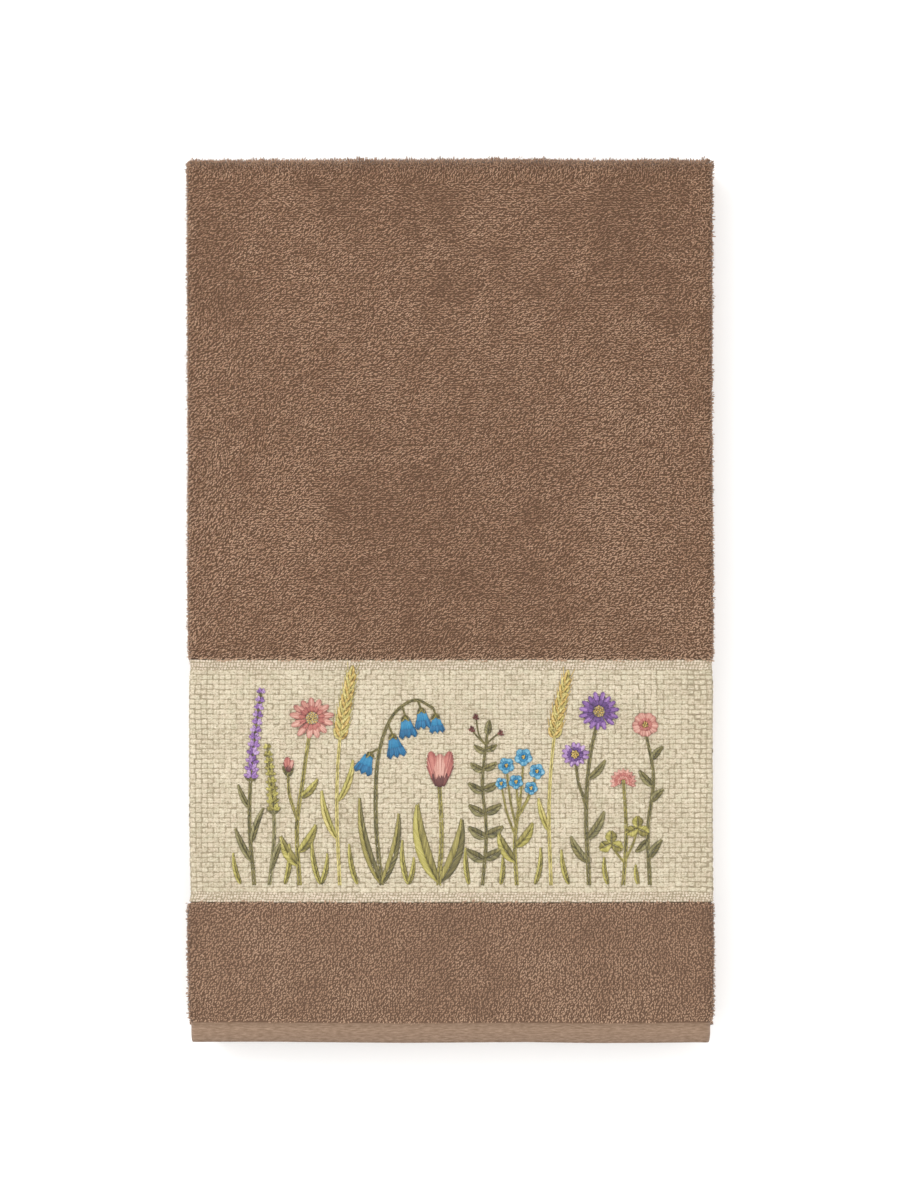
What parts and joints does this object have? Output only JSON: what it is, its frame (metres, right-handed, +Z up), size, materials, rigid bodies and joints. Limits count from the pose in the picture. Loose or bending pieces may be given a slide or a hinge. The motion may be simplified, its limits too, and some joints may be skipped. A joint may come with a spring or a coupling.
{
  "type": "bath towel",
  "caption": "Cotton terry bath towel folded into a flat oblong pack, with woven hems and a cream basket-weave band that carries an embroidered row of garden flowers.",
  "frame": {"origin": "under the middle of the folded towel's bounding box, on the surface it lies on", "axes": "+Z up, out of the towel's front face; +Y along the towel towards its top fold, with the woven lower hem at -Y; +X to the right of the front face"},
  "size_m": [0.2786, 0.4656, 0.0315],
  "materials": {
    "terry": "brown looped cotton pile with flat woven hems, matt",
    "band": "cream basket weave of slubby doubled threads, matt, with raised embroidery in soft sheen thread"
  },
  "bodies": {
    "root": {"towel_body": "terry", "woven_band": "band"}
  },
  "joints": []
}
